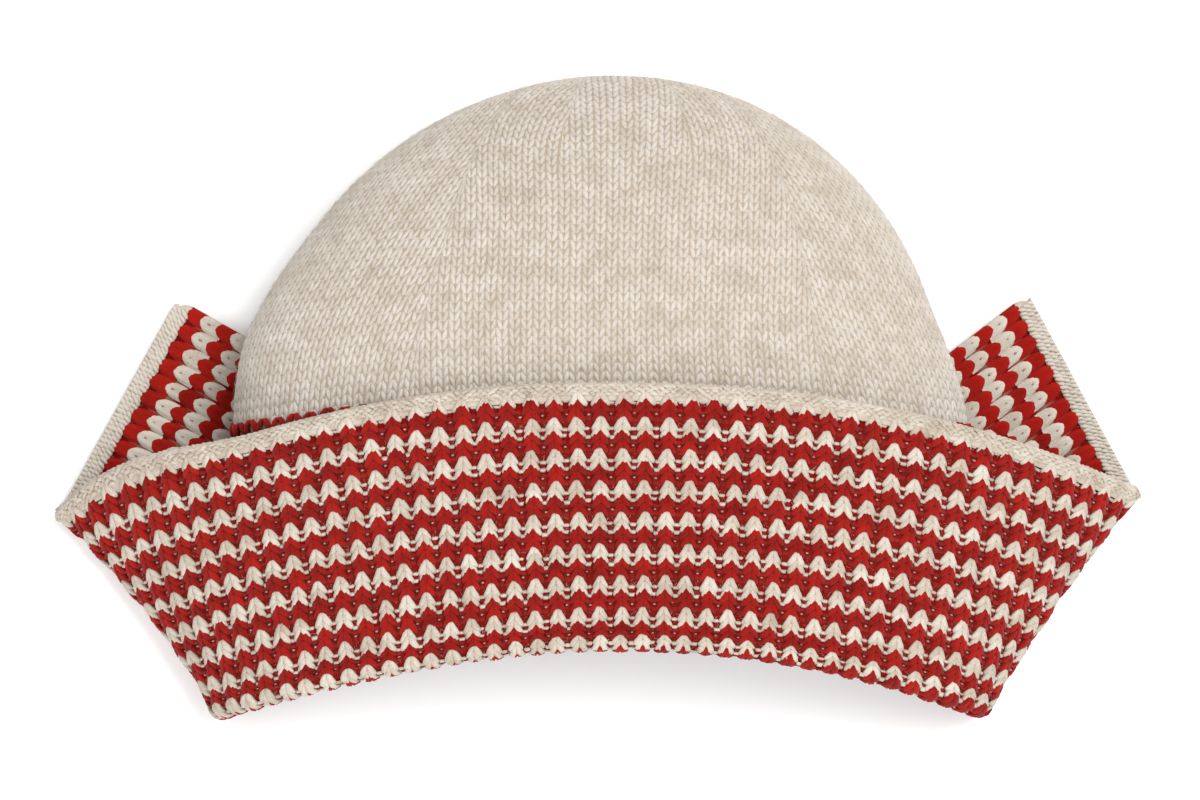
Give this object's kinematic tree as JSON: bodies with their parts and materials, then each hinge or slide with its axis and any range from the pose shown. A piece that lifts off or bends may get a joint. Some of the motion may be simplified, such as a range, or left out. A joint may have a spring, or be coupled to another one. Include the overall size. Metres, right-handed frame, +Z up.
{
  "type": "knitted flap hat",
  "caption": "Hollow knitted hat lying on its back, with a plain domed crown and a striped rib flap turned up round its mouth.",
  "frame": {"origin": "middle of the hat's underside, on the surface that it lies on", "axes": "+X across the hat from flap corner to flap corner, +Y from the mouth to the crown's top, +Z up from the surface"},
  "size_m": [0.298, 0.1756, 0.0676],
  "materials": {
    "oatmeal_knit": "heathered plain wool knit, matt and slightly fuzzy",
    "striped_rib": "red wool rib knit striped with cream, matt and slightly fuzzy",
    "cream_edge": "cream wool knit border, matt and slightly fuzzy"
  },
  "bodies": {
    "root": {"crown": "oatmeal_knit", "flap": "striped_rib", "flap_edge": "cream_edge"}
  },
  "joints": []
}
